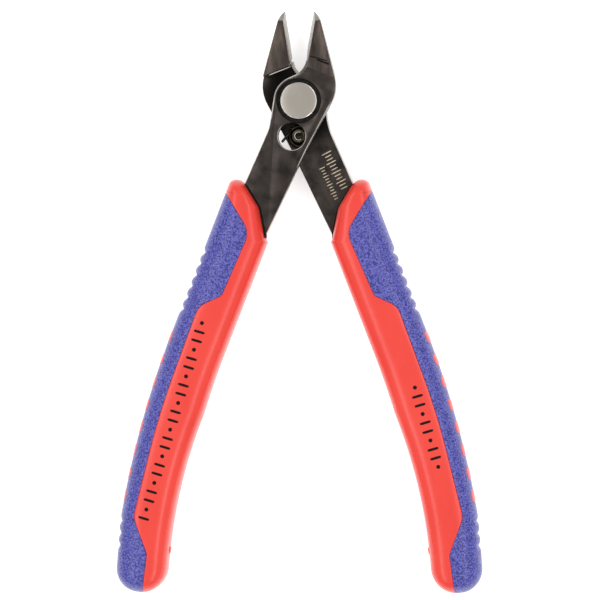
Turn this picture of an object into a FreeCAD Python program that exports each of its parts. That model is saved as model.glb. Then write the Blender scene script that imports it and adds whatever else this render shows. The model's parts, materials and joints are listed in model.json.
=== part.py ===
import FreeCAD, Part
import math
import os
import Sketcher
from FreeCAD import Placement, Rotation, Vector

# A flush cutter for electronics work: two steel halves in a lap joint, a bolt, a small opening spring with
# its stop pin, and a two-component grip on each handle. It lies flat, jaws open, tips towards +Y.
# Each half and its grip are drawn closed, with the joint's axis at the sketch origin and the cutting edges
# on the line x = 0, and are then turned open about the joint. Lengths are millimetres, angles degrees.

DOC = FreeCAD.newDocument("flush_cutter")

OUTLINE_LENGTH = 125.0      # the tool length at which the outlines below are drawn

SIZES = {
    # the whole tool
    "tool_length": 125.0,   # closed, tip to handle end
    "half_open": 9.0,       # turn of each half from closed to fully open
    "across": 30.0,         # length of a cut or pad that passes right across the tool
    "past": 0.6,            # how far a cut reaches past the surface it opens
    "pivot_y": 41.753,      # joint axis from the middle of the open tool
    # steel halves
    "plate_t": 3.2,         # one half's plate, half of the joint's thickness
    "lap_gap": 0.01,        # each plate's distance from the lap plane
    "tip_top": 1.5,         # height of the jaw's upper slope where the tip facet starts
    "tip_end": -0.7,        # height of the upper side at the very tip
    "tip_under": 1.9,       # depth of the under side at the tip
    "bevel_w": 0.73,        # ground bevel along the cutting edge, seen from above
    "bevel_depth": 2.0,     # height of that bevel
    "throat_bevel": 0.55,   # bevel round the throat
    "rim": 0.14,            # broken edge round the plates
    "window_r": 2.85,       # window over the spring
    "pocket_r": 2.5,        # spring pocket in the rear plate
    "pocket_depth": 2.6,
    "slot_w": 0.7,          # slot for the spring's fixed leg
    # joint
    "bore_r": 2.24,
    "shank_r": 2.2,
    "sink_r": 4.65,         # counterbore for the bolt's head and washer
    "sink_depth": 1.0,
    "head_r": 3.8,
    "head_proud": 0.2,
    "head_edge": 0.15,
    "washer_r": 4.5,
    "washer_t": 0.3,
    "nut_r": 3.6,
    "nut_sink_r": 3.75,
    "nut_t": 1.2,
    "spanner_hole_r": 0.45,
    "spanner_hole_depth": 0.9,
    "pin_r": 1.38,
    "pin_top": 2.4,
    "pin_hole_r": 0.85,
    "pin_hole_depth": 2.9,
    # spring
    "wire_r": 0.3,
    "coil_r": 2.05,
    "coil_pitch": 0.61,
    "coil_turns": 3.3694,
    "coil_floor": 2.28,     # depth of the first turn's wire below the lap plane
    "fixed_leg": 0.9,
    "free_leg": 3.51,
    "free_leg_rise": 22.2,
    # grips
    "grip_width": 11.85,
    "grip_thick": 12.0,
    "grip_outer_r": 4.5,
    "grip_inner_r": 3.0,
    "cover_t": 1.8,
    "grip_lean": 12.2,      # lean of the grip's straight upper stretch
    "rib_r": 1.25,
    "pad_w": 2.5,
    "pad_h": 6.8,
    "pad_round": 1.2,
}

# The jaw from the side: lengths from the joint's axis towards the tip, and heights from the lap plane.
SLOPE_START, SLOPE_END = 7.15, 17.0     # the upper side falls from the plate's height to tip_top
JAW_TILT = -12.3            # the slope starts on a line that leans this much
FACET_START, FACET_END = 16.55, 19.0    # the tip facet falls to tip_end
FACET_LIFT = 0.15           # height above tip_top at which it starts
FACET_TILT = 9.0            # it starts on a line that leans this much
UNDER_START, UNDER_END = 9.0, 20.0      # the under side rises to tip_under
CLEAR_END, CLEAR_HEIGHT = 24.0, 5.0     # beyond the tip, and above or below both plates
EDGE_FOOT = 8.4             # the edge grinding starts here
HOLLOW_LAND, HOLLOW_W = 0.2, 2.2        # the hollow starts this far below the edge, and ends this wide
THROAT_STEEP = 1.6          # height of the throat's bevel for each millimetre of its width
RIM_START, RIM_END = -16.0, 5.0         # the rim is broken along this stretch of the outer side
RIM_SIDE = -1.0             # and on this side of the middle

SPRING_AT = (1.142, -7.21)  # coil axis on the rear half, drawn as the rear half is
WINDOW_AT = (-0.26, -7.5)   # window on the front half

# Outlines, corner by corner. A third number rounds that corner to a radius.
JAW_SIDE = [(0.01, 19.0), (1.34, 18.17, 4.7)]
HANDLE = [
    (7.72, 3.36, 7.6), (3.2, -9.8, 60.0), (-2.1, -27.5, 8.0),             # head and neck, inner side
    (-9.3, -50.0, 40.0), (-15.0, -76.0), (-17.8, -75.6), (-14.6, -50.0, 40.0),  # tang inside the grip
    (-11.1, -29.0, 40.0), (-5.15, -6.6, 12.0), (-5.2, 2.765, 5.2),        # neck, outer side, and boss
]
THROAT_CENTRE = (-3.9, 8.5)
THROAT = {"front": [(0.2, 6.4, 4.0), (0.2, 9.1, 4.0), (0.01, 10.8, 4.0)], "rear": [(0.01, 6.28, 4.0)]}
SHOULDER_FOOT = 6.15        # where the shoulder leaves the jaw's straight outer side
SHOULDER = {
    "front": [(0.75, 7.55), (0.2, 9.1, 4.0), (0.01, 10.8, 4.0)],  # it passes over the other plate
    "rear": [(0.75, 7.55), (0.01, 9.0)],
}
GRIP_PATH = [(-4.97, -16.0), (-18.65, -79.26, 190.0), (-16.65, -108.5)]
GRIP_MOUTH = [
    (-16.0, -23.5), (-12.63, -23.5), (-11.4, -17.3, 1.8), (-8.5, -18.6, 3.0), (-4.6, -23.15, 4.0),
    (-2.15, -29.8), (4.0, -29.8), (4.0, -8.0), (-16.0, -8.0),
]
GRIP_END = [
    (-26.0, -89.5), (-23.35, -89.5), (-22.0, -106.0, 5.0), (-11.35, -106.0, 5.5), (-13.1, -85.0, 108.0),
    (-9.1, -65.0), (-5.0, -65.0), (-5.0, -112.0), (-26.0, -112.0),
]
COVER_SIDE = [
    (-14.3, -18.4), (-5.6, -28.5, 4.2), (-9.25, -42.4, 1.6), (-13.75, -45.3, 4.0),
    (-18.28, -68.2, 150.0), (-20.3, -90.4, 4.0), (-16.2, -97.6, 2.5), (-15.9, -110.0),
    (-30.0, -110.0), (-30.0, -18.4),
]
RIB_ROWS = [((-14.25, -34.1), (-16.7, -46.3), 6), ((-22.6, -91.8), (-22.15, -96.85), 3)]
PADS = 8
PAD_FIRST, PAD_LAST = -52.5, -86.5


def fill_sheet():
    sheet = DOC.addObject("Spreadsheet::Sheet", "Dims")
    for row, (alias, value) in enumerate(SIZES.items(), start=1):
        sheet.set("A%d" % row, alias)
        sheet.set("B%d" % row, str(value))
        sheet.setAlias("B%d" % row, alias)
    DOC.recompute()


def outline_share(value):
    """A coordinate of an outline as an expression of the tool's length."""
    return "%.6f * Dims.tool_length / %g" % (value, OUTLINE_LENGTH)


def new_body(name):
    body = DOC.addObject("PartDesign::Body", name)
    body.Label = name
    return body


def new_sketch(body, name, plane="XY_Plane", offset=None, height=None):
    sketch = body.newObject("Sketcher::SketchObject", name)
    planes = {item.Role: item for item in body.Origin.OriginFeatures}
    sketch.AttachmentSupport = [(planes[plane], "")]
    sketch.MapMode = "FlatFace"
    if offset is not None:
        sketch.AttachmentOffset = offset
    if height is not None:
        sketch.setExpression("AttachmentOffset.Base.z", height)
    return sketch


def bind(sketch, kind, geometry, point, value, formula):
    """Dimensions one point from the sketch origin."""
    index = sketch.addConstraint(Sketcher.Constraint(kind, -1, 1, geometry, point, value))
    sketch.setExpression("Constraints[%d]" % index, formula)


def place_point(sketch, geometry, point, x, y):
    bind(sketch, "DistanceX", geometry, point, x, outline_share(x))
    bind(sketch, "DistanceY", geometry, point, y, outline_share(y))


def set_radius(sketch, geometry, radius, formula):
    index = sketch.addConstraint(Sketcher.Constraint("Radius", geometry, radius))
    sketch.setExpression("Constraints[%d]" % index, formula)


def round_corners(corners, closed):
    """The runs of an outline: (start, end) for a straight one, (start, end, centre, radius, left turn)."""
    count = len(corners)
    points = [Vector(corner[0], corner[1], 0) for corner in corners]
    arrive, leave, arcs = list(points), list(points), [None] * count
    for i, corner in enumerate(corners):
        if len(corner) < 3:
            continue
        before = (points[i - 1] - points[i]).normalize()
        after = (points[(i + 1) % count] - points[i]).normalize()
        half_angle = before.getAngle(after) / 2
        reach = corner[2] / math.tan(half_angle)
        arrive[i], leave[i] = points[i] + before * reach, points[i] + after * reach
        centre = points[i] + (before + after).normalize() * (corner[2] / math.sin(half_angle))
        arcs[i] = (centre, corner[2], before.cross(after).z < 0)
    runs = []
    for i in range(count):
        if arcs[i]:
            runs.append((arrive[i], leave[i]) + arcs[i])
        if closed or i < count - 1:
            runs.append((leave[i], arrive[(i + 1) % count]))
    return runs


def draw(sketch, corners, flip=1, closed=True):
    """Draws an outline, mirrored in x where flip is -1, and dimensions all of it."""
    runs = round_corners([(flip * corner[0],) + tuple(corner[1:]) for corner in corners], closed)
    ends = []
    for run in runs:
        if len(run) == 2:
            geometry = sketch.addGeometry(Part.LineSegment(run[0], run[1]))
            ends.append((geometry, 1, 2))
            continue
        start, end, centre, radius, left = run
        angles = [math.atan2(p.y - centre.y, p.x - centre.x) for p in ((start, end) if left else (end, start))]
        circle = Part.Circle(centre, Vector(0, 0, 1), radius)
        geometry = sketch.addGeometry(Part.ArcOfCircle(circle, angles[0], angles[1]))
        set_radius(sketch, geometry, radius, outline_share(radius))
        ends.append((geometry, 1, 2) if left else (geometry, 2, 1))
    for i in range(len(ends) if closed else len(ends) - 1):
        this, following = ends[i], ends[(i + 1) % len(ends)]
        sketch.addConstraint(Sketcher.Constraint("Coincident", this[0], this[2], following[0], following[1]))
    for (geometry, start, _), run in zip(ends, runs):
        place_point(sketch, geometry, start, run[0].x, run[0].y)
    if not closed:
        place_point(sketch, ends[-1][0], ends[-1][2], runs[-1][1].x, runs[-1][1].y)


def draw_circle(sketch, centre, radius_alias):
    circle = Part.Circle(Vector(centre[0], centre[1], 0), Vector(0, 0, 1), SIZES[radius_alias])
    geometry = sketch.addGeometry(circle)
    set_radius(sketch, geometry, SIZES[radius_alias], "Dims." + radius_alias)
    place_point(sketch, geometry, 3, centre[0], centre[1])


def extrude(body, kind, sketch, length, symmetric=False, reverse=False):
    """A Pad or a Pocket of a sketch, checked for having changed the body."""
    before = 0.0 if body.Shape.isNull() else body.Shape.Volume
    feature = body.newObject("PartDesign::" + kind, kind + "_" + sketch.Name)
    feature.Profile = sketch
    feature.SideType = "Symmetric" if symmetric else "One side"
    feature.Reversed = reverse
    feature.setExpression("Length", length)
    DOC.recompute()
    if abs(body.Shape.Volume - before) < 1e-3:
        raise RuntimeError("%s changed nothing: %s" % (feature.Name, feature.getStatusString()))
    return feature


def disc(body, name, radius_alias, bottom, height, centre=(0.0, 0.0), kind="Pad"):
    """A round boss, or with Pocket a round hole, that rises by height from bottom."""
    sketch = new_sketch(body, body.Name + "_" + name, height=bottom)
    draw_circle(sketch, centre, radius_alias)
    return extrude(body, kind, sketch, height, reverse=(kind == "Pocket"))


def chamfer(body, size, is_wanted):
    """Breaks the edges whose middle passes the test."""
    base = body.Tip
    names = []
    for number, edge in enumerate(base.Shape.Edges, start=1):
        middle = edge.valueAt((edge.FirstParameter + edge.LastParameter) / 2)
        if is_wanted(middle):
            names.append("Edge%d" % number)
    feature = body.newObject("PartDesign::Chamfer", body.Name + "_chamfer_" + size)
    feature.Base = (base, names)
    feature.setExpression("Size", "Dims." + size)
    DOC.recompute()


def open_turn(side):
    """The place of a half's parts: turned open about the joint, and lifted to the grips' mid-height."""
    sign = "-" if side == "front" else ""
    formula = "create(<<placement>>; create(<<vector>>; 0; Dims.pivot_y; Dims.grip_thick / 2); "
    formula += "create(<<rotation>>; create(<<vector>>; 0; 0; 1); %sDims.half_open))" % sign
    return formula


def tilted(angle):
    """An upright sketch plane through the joint's axis whose normal leans from +X by the angle."""
    return Placement(Vector(0, 0, 0), Rotation(Vector(0, 1, 0), angle))


def jaw_side_at(y):
    """The point at height y on the straight outer side between the jaw's tip and its head."""
    tip, head = JAW_SIDE[-1], HANDLE[0]
    share = (y - tip[1]) / (head[1] - tip[1])
    return (tip[0] + share * (head[0] - tip[0]), y)


def line_at(start, end, x):
    """The point at x on the line through two others."""
    share = (x - start[0]) / (end[0] - start[0])
    return (x, start[1] + share * (end[1] - start[1]))


def make_half(side):
    """One forged half: plate, jaw and tang, drawn for the front half and mirrored for the rear one."""
    front = side == "front"
    flip = 1 if front else -1
    body = new_body(side + "_half")
    top = "Dims.plate_t"
    gap = "Dims.lap_gap"

    plate = new_sketch(body, side + "_plate", height=gap if front else "-" + top)
    draw(plate, JAW_SIDE + HANDLE + THROAT[side], flip)
    extrude(body, "Pad", plate, top + " - " + gap)

    plate_top = SIZES["plate_t"] if front else -SIZES["lap_gap"]

    def is_rim(middle):
        at_top = abs(middle.z - plate_top) < 1e-3
        return at_top and RIM_START < middle.y < RIM_END and flip * middle.x < RIM_SIDE

    chamfer(body, "rim", is_rim)

    lap = "Dims.past"
    root = new_sketch(body, side + "_jaw_root", height="-" + top if front else "-%s - %s" % (gap, lap))
    draw(root, JAW_SIDE + [jaw_side_at(SHOULDER_FOOT)] + SHOULDER[side], flip)
    extrude(body, "Pad", root, "%s + %s" % (top, lap) + ("" if front else " + " + gap))

    slope = new_sketch(body, side + "_slope", "YZ_Plane", tilted(flip * JAW_TILT))
    cut_above(body, slope, (SLOPE_START, SIZES["plate_t"]), (SLOPE_END, SIZES["tip_top"]), CLEAR_HEIGHT)

    facet = new_sketch(body, side + "_tip_facet", "YZ_Plane", tilted(flip * FACET_TILT))
    start = (FACET_START, SIZES["tip_top"] + FACET_LIFT)
    cut_above(body, facet, start, (FACET_END, SIZES["tip_end"]), CLEAR_HEIGHT)

    under = new_sketch(body, side + "_under", "YZ_Plane")
    start = (UNDER_START, -SIZES["plate_t"])
    cut_above(body, under, start, (UNDER_END, -SIZES["tip_under"]), -CLEAR_HEIGHT)

    grind_edge(body, side, flip)
    bevel_throat(body, side, flip, plate_top)
    cut_joint(body, side, flip)
    return body


def cut_above(body, sketch, start, end, height):
    """Cuts away what lies between a falling line and a height clear of the tool, right across the jaw."""
    past_tip = line_at(start, end, CLEAR_END)
    draw(sketch, [start, past_tip, (CLEAR_END, height), (start[0], height)])
    extrude(body, "Pocket", sketch, "Dims.across", symmetric=True)


def grind_edge(body, side, flip):
    """Grinds the jaw to its cutting edge: a narrow bevel above it and a wide hollow below."""
    fall = (SIZES["tip_top"] - SIZES["plate_t"]) / (SLOPE_END - SLOPE_START)
    edge = SIZES["plate_t"] - SIZES["bevel_depth"]
    edge_x, past = JAW_SIDE[0][0], SIZES["past"]
    rise = SIZES["bevel_depth"] + past
    top_x = edge_x + SIZES["bevel_w"] / SIZES["bevel_depth"] * rise
    bottom = -SIZES["plate_t"] - past
    above = [(-past, edge), (edge_x, edge), (top_x, edge + rise), (-past, edge + rise)]
    below = [(-past, edge - HOLLOW_LAND), (edge_x, edge - HOLLOW_LAND), (HOLLOW_W, bottom), (-past, bottom)]
    for name, section in (("bevel", above), ("hollow", below)):
        sketch = new_sketch(body, side + "_" + name, "XZ_Plane", Placement(Vector(0, 0, -EDGE_FOOT), Rotation()))
        draw(sketch, section, flip)
        cut = extrude(body, "Pocket", sketch, "Dims.across")
        cut.UseCustomVector = True
        cut.Direction = Vector(0, 1, fall)
    DOC.recompute()


def bevel_throat(body, side, flip, plate_top):
    """Carries the bevel round the throat as part of a cone about the throat's own centre."""
    corners = JAW_SIDE + HANDLE + THROAT[side]
    number = len(JAW_SIDE + HANDLE)
    arcs = [run for run in round_corners(corners, True) if len(run) > 2]
    centre = min(arcs, key=lambda run: (run[2] - Vector(*THROAT_CENTRE, 0)).Length)[2]
    radius = corners[number][2]
    width, depth, past = SIZES["throat_bevel"], SIZES["throat_bevel"] * THROAT_STEEP, SIZES["past"]
    section = [
        (radius - past, plate_top - depth), (radius, plate_top - depth),
        (radius + width * (1 + past / depth), plate_top + past), (radius - past, plate_top + past),
    ]
    at = Placement(Vector(flip * centre.x, 0, -centre.y), Rotation())
    sketch = new_sketch(body, side + "_throat", "XZ_Plane", at)
    draw(sketch, section)
    groove = body.newObject("PartDesign::Groove", "Groove_" + side + "_throat")
    groove.Profile = sketch
    groove.ReferenceAxis = (sketch, ["V_Axis"])
    groove.Angle = 360
    DOC.recompute()


def cut_joint(body, side, flip):
    """The bore and counterbore, and the front half's window or the rear half's spring pocket."""
    thickness = "Dims.plate_t"
    disc(body, "bore", "bore_r", "-" + thickness, "2 * " + thickness, kind="Pocket")
    if side == "front":
        sink_floor = thickness + " - Dims.sink_depth"
        disc(body, "sink", "sink_r", sink_floor, "Dims.sink_depth + Dims.past", kind="Pocket")
        through = thickness + " + 2 * Dims.past"
        disc(body, "window", "window_r", "-Dims.past", through, centre=WINDOW_AT, kind="Pocket")
        return
    below = "-%s - Dims.past" % thickness
    disc(body, "nut_sink", "nut_sink_r", below, "Dims.nut_t + Dims.past", kind="Pocket")
    spring_at = (flip * SPRING_AT[0], SPRING_AT[1])
    floor = "-Dims.pocket_depth"
    disc(body, "pocket", "pocket_r", floor, "Dims.pocket_depth", centre=spring_at, kind="Pocket")
    disc(body, "pin_hole", "pin_r", below, thickness, centre=spring_at, kind="Pocket")
    slot = new_sketch(body, "rear_leg_slot", height=floor)
    middle = spring_at[0] + SIZES["coil_r"]
    half = SIZES["slot_w"] / 2
    corner = SIZES["wire_r"]
    far = spring_at[1] - SIZES["fixed_leg"] - corner
    draw(slot, [(middle - half, spring_at[1]), (middle + half, spring_at[1]), (middle + half, far, corner),
                (middle - half, far, corner)])
    extrude(body, "Pocket", slot, "Dims.pocket_depth", reverse=True)


def make_bolt():
    """The joint bolt: a shank through both halves and a flat head in the front counterbore."""
    body = new_body("joint_bolt")
    disc(body, "shank", "shank_r", "-Dims.plate_t", "2 * Dims.plate_t")
    height = "(Dims.sink_depth - Dims.washer_t - 2 * Dims.lap_gap + Dims.head_proud)"
    disc(body, "head", "head_r", "Dims.plate_t + Dims.head_proud - " + height, height)
    top = SIZES["plate_t"] + SIZES["head_proud"]
    chamfer(body, "head_edge", lambda middle: abs(middle.z - top) < 1e-3)
    return body


def make_washer():
    """The spring washer under the bolt's head."""
    body = new_body("joint_washer")
    bottom = "Dims.plate_t - Dims.sink_depth + Dims.lap_gap"
    disc(body, "ring", "washer_r", bottom, "Dims.washer_t")
    disc(body, "hole", "bore_r", bottom + " - Dims.past", "Dims.washer_t + 2 * Dims.past", kind="Pocket")
    return body


def make_nut():
    """The round nut on the under side, with two holes for a pin spanner."""
    body = new_body("joint_nut")
    bottom = "-Dims.plate_t - Dims.head_proud"
    below = bottom + " - Dims.past"
    height = "Dims.nut_t + Dims.head_proud - 2 * Dims.lap_gap"
    disc(body, "disc", "nut_r", bottom, height)
    disc(body, "thread", "shank_r", below, height + " + 2 * Dims.past", kind="Pocket")
    for turn in (-1, 1):
        at = (turn * (SIZES["nut_r"] + SIZES["shank_r"]) / 2, 0.0)
        name = "spanner_hole_a" if turn < 0 else "spanner_hole_b"
        depth = "Dims.spanner_hole_depth + Dims.past"
        disc(body, name, "spanner_hole_r", below, depth, centre=at, kind="Pocket")
    return body


def make_stop_pin():
    """The hollow post in the middle of the spring, which stands up into the window and stops it."""
    body = new_body("stop_pin")
    at = (-SPRING_AT[0], SPRING_AT[1])
    disc(body, "post", "pin_r", "-Dims.plate_t", "Dims.plate_t + Dims.pin_top", centre=at)
    floor = "Dims.pin_top - Dims.pin_hole_depth"
    disc(body, "hollow", "pin_hole_r", floor, "Dims.pin_hole_depth + Dims.past", centre=at, kind="Pocket")
    return body


def rod(name, start, direction, length):
    """A straight length of the spring's wire."""
    piece = DOC.addObject("Part::Cylinder", name)
    piece.setExpression("Radius", "Dims.wire_r")
    piece.setExpression("Height", length)
    piece.Placement = Placement(start, Rotation(Vector(0, 0, 1), direction))
    return piece


def make_spring():
    """The torsion spring: a coil in the rear pocket, a leg in its slot and a leg against the window."""
    coil_r, turns = SIZES["coil_r"], SIZES["coil_turns"]
    axis = Vector(-SPRING_AT[0], SPRING_AT[1], -SIZES["coil_floor"])
    helix = DOC.addObject("Part::Helix", "spring_helix")
    helix.setExpression("Pitch", "Dims.coil_pitch")
    helix.setExpression("Height", "Dims.coil_pitch * Dims.coil_turns")
    helix.setExpression("Radius", "Dims.coil_r")
    helix.Placement = Placement(axis, Rotation())
    section = DOC.addObject("Part::Circle", "spring_wire")
    section.setExpression("Radius", "Dims.wire_r")
    start = axis + Vector(coil_r, 0, 0)
    section.Placement = Placement(start, Rotation(Vector(1, 0, 0), 90))
    DOC.recompute()
    coil = DOC.addObject("Part::Sweep", "spring_coil")
    coil.Sections = [section]
    coil.Spine = (helix, ["Edge%d" % (i + 1) for i in range(len(helix.Shape.Edges))])
    coil.Solid = True
    coil.Frenet = True
    angle = math.radians(360 * (turns % 1))
    end = axis + Vector(coil_r * math.cos(angle), coil_r * math.sin(angle), SIZES["coil_pitch"] * turns)
    rise = math.radians(SIZES["free_leg_rise"])
    away = Vector(-math.sin(angle) * math.cos(rise), math.cos(angle) * math.cos(rise), math.sin(rise))
    fixed = rod("spring_fixed_leg", start, Vector(0, -1, 0), "Dims.fixed_leg")
    free = rod("spring_free_leg", end, away, "Dims.free_leg")
    bends = []
    for name, place in (("spring_bend", end), ("spring_bend_fixed", start)):
        bend = DOC.addObject("Part::Sphere", name)
        bend.setExpression("Radius", "Dims.wire_r")
        bend.Placement = Placement(place, Rotation())
        bends.append(bend)
    spring = DOC.addObject("Part::MultiFuse", "opening_spring")
    spring.Label = "opening_spring"
    spring.Shapes = [coil, fixed, free] + bends
    DOC.recompute()
    return spring


def make_grip_form(name, side, inset=""):
    """A rounded section carried down the grip's centre line, mirrored for the right grip."""
    flip = 1 if side == "left" else -1
    body = new_body(name)
    path = new_sketch(body, name + "_path")
    draw(path, GRIP_PATH, flip, closed=False)
    start = GRIP_PATH[0]
    turn = Rotation(Vector(0, 1, 0), -flip * SIZES["grip_lean"])
    at = Placement(Vector(flip * start[0], 0, -start[1]), turn)
    section = new_sketch(body, name + "_section", "XZ_Plane", at)
    skin = SIZES["cover_t"] if inset else 0.0
    half_w, half_t = SIZES["grip_width"] / 2 - skin, SIZES["grip_thick"] / 2 - skin
    outer, inner = SIZES["grip_outer_r"] - skin, SIZES["grip_inner_r"] - skin
    draw(section, [(-half_w, -half_t, outer), (half_w, -half_t, inner), (half_w, half_t, inner),
                   (-half_w, half_t, outer)], flip)
    pipe = body.newObject("PartDesign::AdditivePipe", name + "_pipe")
    pipe.Profile = section
    pipe.Spine = (path, ["Edge%d" % (i + 1) for i in range(len(path.Shape.Edges))])
    DOC.recompute()
    return body


def trim_grip(body, side):
    """Cuts the slanting mouth, the round end and the finger ribs."""
    flip = 1 if side == "left" else -1
    for name, corners in (("mouth", GRIP_MOUTH), ("end", GRIP_END)):
        sketch = new_sketch(body, "%s_%s" % (body.Name, name))
        draw(sketch, corners, flip)
        extrude(body, "Pocket", sketch, "2 * Dims.grip_thick", symmetric=True)
    ribs = new_sketch(body, body.Name + "_ribs")
    for first, last, count in RIB_ROWS:
        first, last = Vector(*first, 0), Vector(*last, 0)
        along = (last - first).normalize()
        outward = Vector(along.y, -along.x, 0)
        for i in range(count):
            valley = first + (last - first) * (i / (count - 1)) + outward * SIZES["rib_r"]
            draw_circle(ribs, (flip * valley.x, valley.y), "rib_r")
    extrude(body, "Pocket", ribs, "2 * Dims.grip_thick", symmetric=True)


def combine(kind, name, base, tool):
    result = DOC.addObject("Part::" + kind, name)
    result.Base = base
    result.Tool = tool
    result.Label = name
    DOC.recompute()
    return result


def make_grip(side, half):
    """One grip: the hard core moulded on the tang, and the soft cover over its outer side."""
    flip = 1 if side == "left" else -1
    form = make_grip_form(side + "_grip_form", side)
    trim_grip(form, side)
    heart = make_grip_form(side + "_grip_heart", side, inset="cover_t")
    cover_side = new_body(side + "_cover_side")
    sketch = new_sketch(cover_side, side + "_cover_outline")
    draw(sketch, COVER_SIDE, flip)
    extrude(cover_side, "Pad", sketch, "2 * Dims.grip_thick", symmetric=True)
    pads = new_body(side + "_pads")
    sketch = new_sketch(pads, side + "_pad_outlines", "YZ_Plane")
    half_w, half_h, round_r = SIZES["pad_w"] / 2, SIZES["pad_h"] / 2, SIZES["pad_round"]
    for i in range(PADS):
        y = PAD_FIRST + (PAD_LAST - PAD_FIRST) * i / (PADS - 1)
        draw(sketch, [(y - half_w, -half_h, round_r), (y + half_w, -half_h, round_r),
                      (y + half_w, half_h, round_r), (y - half_w, half_h, round_r)])
    extrude(pads, "Pad", sketch, "Dims.across", reverse=(flip > 0))
    place = open_turn("front" if side == "left" else "rear")
    for body in (form, heart, cover_side, pads):
        body.setExpression("Placement", place)
    DOC.recompute()
    outer = combine("Common", side + "_outer", form, cover_side)
    shell = combine("Cut", side + "_shell", outer, heart)
    cover = combine("Cut", side + "_grip_cover", shell, pads)
    solid_core = combine("Cut", side + "_solid_core", form, cover)
    core = combine("Cut", side + "_grip_core", solid_core, half)
    return [core, cover]


def main():
    fill_sheet()
    front = make_half("front")
    rear = make_half("rear")
    bolt, washer, nut, pin, spring = make_bolt(), make_washer(), make_nut(), make_stop_pin(), make_spring()
    for side, items in (("front", [front]), ("rear", [rear, bolt, washer, nut, pin, spring])):
        for item in items:
            item.setExpression("Placement", open_turn(side))
    DOC.recompute()
    nodes = [front, rear, bolt, washer, nut, pin, spring]
    nodes += make_grip("left", front) + make_grip("right", rear)
    for item in DOC.Objects:
        if "Invalid" in item.State or "Error" in item.State:
            raise RuntimeError("%s failed: %s" % (item.Name, item.State))
    for node in nodes:
        shape = node.Shape
        if shape.isNull() or not shape.isValid() or len(shape.Solids) != 1:
            raise RuntimeError("%s is not one valid solid" % node.Label)
    os.makedirs("parts", exist_ok=True)
    whole = FreeCAD.BoundBox()
    for node in nodes:
        shape = node.Shape
        whole.add(shape.BoundBox)
        print("%-18s %8.1f mm3" % (node.Label, shape.Volume))
        shape.exportStep(os.path.join("parts", node.Label + ".step"))
    print("box", whole)


main()
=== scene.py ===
import json
import math
import bmesh
import bpy
import numpy as np
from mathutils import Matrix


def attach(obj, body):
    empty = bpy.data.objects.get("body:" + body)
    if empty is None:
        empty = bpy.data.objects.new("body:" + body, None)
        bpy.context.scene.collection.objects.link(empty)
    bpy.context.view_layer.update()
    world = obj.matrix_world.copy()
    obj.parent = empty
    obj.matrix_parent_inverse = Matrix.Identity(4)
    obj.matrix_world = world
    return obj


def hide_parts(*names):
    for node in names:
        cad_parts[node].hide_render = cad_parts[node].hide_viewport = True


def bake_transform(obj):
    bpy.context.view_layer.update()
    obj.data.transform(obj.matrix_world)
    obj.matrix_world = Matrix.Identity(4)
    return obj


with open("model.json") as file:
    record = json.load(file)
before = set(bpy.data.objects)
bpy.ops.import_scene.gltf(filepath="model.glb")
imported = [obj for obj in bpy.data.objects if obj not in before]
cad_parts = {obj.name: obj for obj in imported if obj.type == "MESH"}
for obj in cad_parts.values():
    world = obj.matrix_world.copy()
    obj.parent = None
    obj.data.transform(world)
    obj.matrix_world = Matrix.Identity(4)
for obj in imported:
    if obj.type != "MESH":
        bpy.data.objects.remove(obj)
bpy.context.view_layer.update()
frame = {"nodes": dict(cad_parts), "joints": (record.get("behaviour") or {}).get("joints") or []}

# A flush cutter that lies open on a pale bench, seen from above.
# Outlines are in millimetres in the drawn frame of the left grip: the tool closed, the joint's axis at 0, 0
# and the tips towards +Y. placed() turns them open about the joint, and mirrors them for the right side.

mm = 0.001
hinge = frame["joints"][0]
pivot = np.array(hinge["pos_m"]) / mm          # joint axis, at the height where the two halves meet
halfOpen = math.radians(hinge["range_deg"][1] / 2)
bodyOf = {"left": "front", "right": "rear"}       # the body that each side's grip rides on
scene = bpy.context.scene


def turned(x, y, angle):
    # (x cos a - y sin a, x sin a + y cos a)
    return x * math.cos(angle) - y * math.sin(angle), x * math.sin(angle) + y * math.cos(angle)


def placed(points, side):
    # turned open by half the joint's travel, then the joint's place is added; right is left with x mirrored
    x, y = turned(points[..., 0], points[..., 1], -halfOpen)
    flip = 1 if side == "left" else -1
    return (np.stack([flip * x, y, points[..., 2]], axis=-1) + pivot) * mm


def drawnFrame(points, side):
    # the inverse of placed(), for points in metres
    p = points / mm - pivot
    flip = 1 if side == "left" else -1
    x, y = turned(flip * p[..., 0], p[..., 1], halfOpen)
    return np.stack([x, y, p[..., 2]], axis=-1)


def unit(vector):
    return vector / np.linalg.norm(vector)


def roundedLine(corners, arcPoints=24):
    # each corner with a radius r becomes an arc about corner + bisector * r / sin(half the corner's angle)
    runs = []
    for i, corner in enumerate(corners):
        at = np.array(corner[:2], float)
        if len(corner) < 3:
            runs.append(at[None])
            continue
        before = unit(np.array(corners[i - 1][:2]) - at)
        after = unit(np.array(corners[i + 1][:2]) - at)
        half = math.acos(np.clip(before @ after, -1, 1)) / 2
        reach, radius = corner[2] / math.tan(half), corner[2]
        centre = at + unit(before + after) * radius / math.sin(half)
        first, last = at + before * reach - centre, at + after * reach - centre
        start = math.atan2(first[1], first[0])
        sweep = math.atan2(last[1], last[0]) - start
        sweep = (sweep + math.pi) % (2 * math.pi) - math.pi
        angle = start + sweep * np.linspace(0, 1, arcPoints)
        runs.append(centre + radius * np.stack([np.cos(angle), np.sin(angle)], axis=-1))
    return np.vstack(runs)


def evenLine(corners, count=240):
    # the rounded outline again, as points at equal steps along it
    line = roundedLine(corners, 60)
    travel = np.r_[0, np.cumsum(np.linalg.norm(np.diff(line, axis=0), axis=1))]
    even = np.linspace(0, travel[-1], count)
    return np.stack([np.interp(even, travel, line[:, 0]), np.interp(even, travel, line[:, 1])], axis=-1)


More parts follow.
